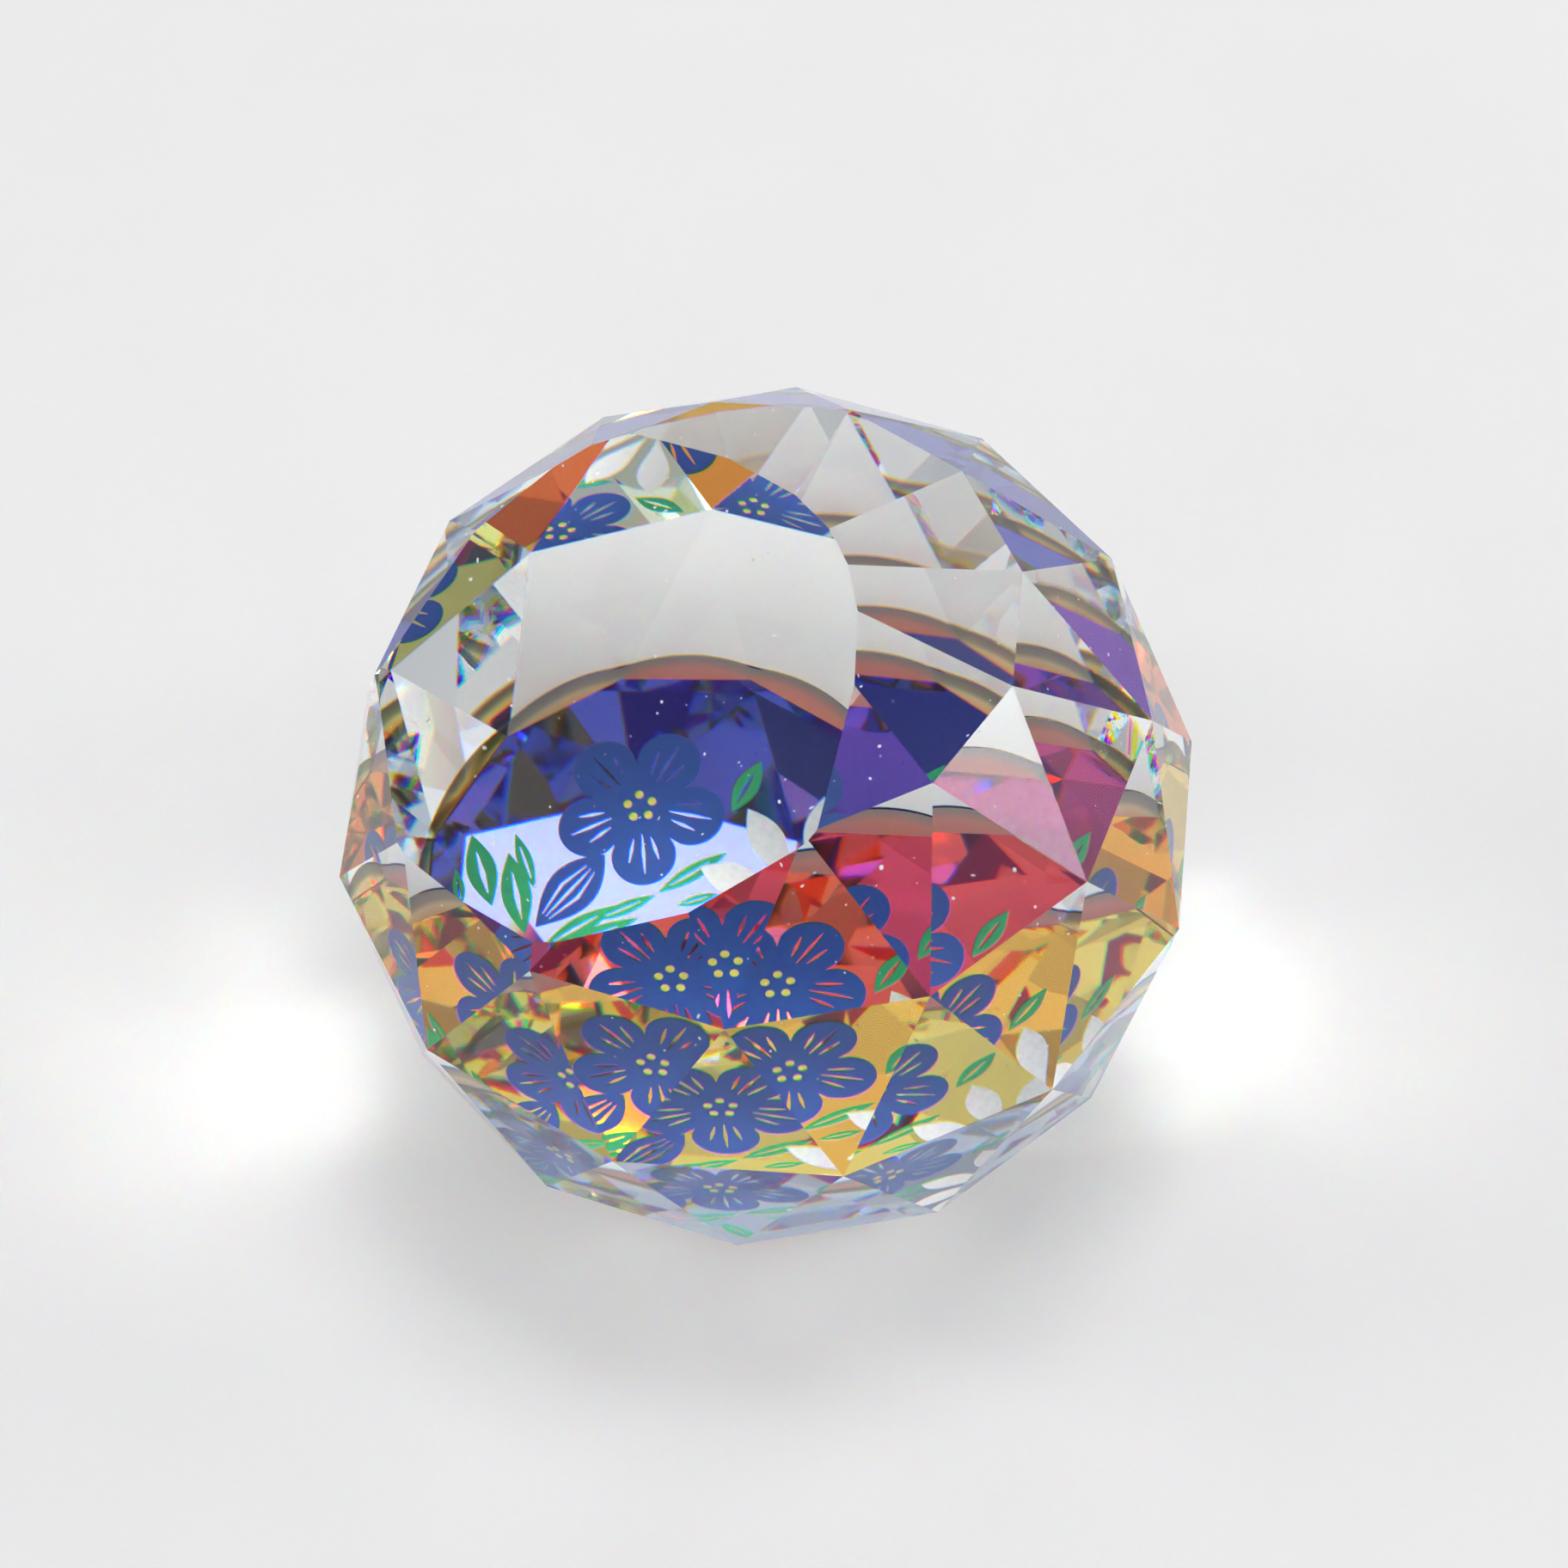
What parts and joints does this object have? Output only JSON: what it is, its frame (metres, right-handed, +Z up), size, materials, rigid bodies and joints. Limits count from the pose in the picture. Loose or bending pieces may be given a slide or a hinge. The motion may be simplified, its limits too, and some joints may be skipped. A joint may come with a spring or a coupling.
{
  "type": "crystal paperweight",
  "caption": "Faceted clear crystal ball on a flat foot, with a slanting viewing window and an alpine flower print under an angle-coloured mirror coating.",
  "frame": {"origin": "middle of the flat resting face, on the axis of the ball", "axes": "+Z up along the axis of the ball, -Y towards the viewer, +X to the viewer's right"},
  "size_m": [0.0496, 0.0496, 0.0431],
  "materials": {
    "crystal": "clear cut crystal with polished flat facets",
    "blue_ink": "opaque cobalt blue screen ink seen through the glass",
    "yellow_ink": "opaque yellow screen ink seen through the glass",
    "green_ink": "opaque leaf green screen ink seen through the glass",
    "white_ink": "opaque white screen ink seen through the glass",
    "coating": "thin interference mirror coating, violet blue seen steeply, red and then yellow green at lower angles",
    "lacquer": "matte pale grey protective lacquer"
  },
  "bodies": {
    "root": {"crystal_ball": "crystal", "gentian_print": "blue_ink", "stamen_print": "yellow_ink", "leaf_print": "green_ink", "edelweiss_print": "white_ink", "edelweiss_heart_print": "yellow_ink", "mirror_coating": "coating", "lacquer_backing": "lacquer"}
  },
  "joints": []
}
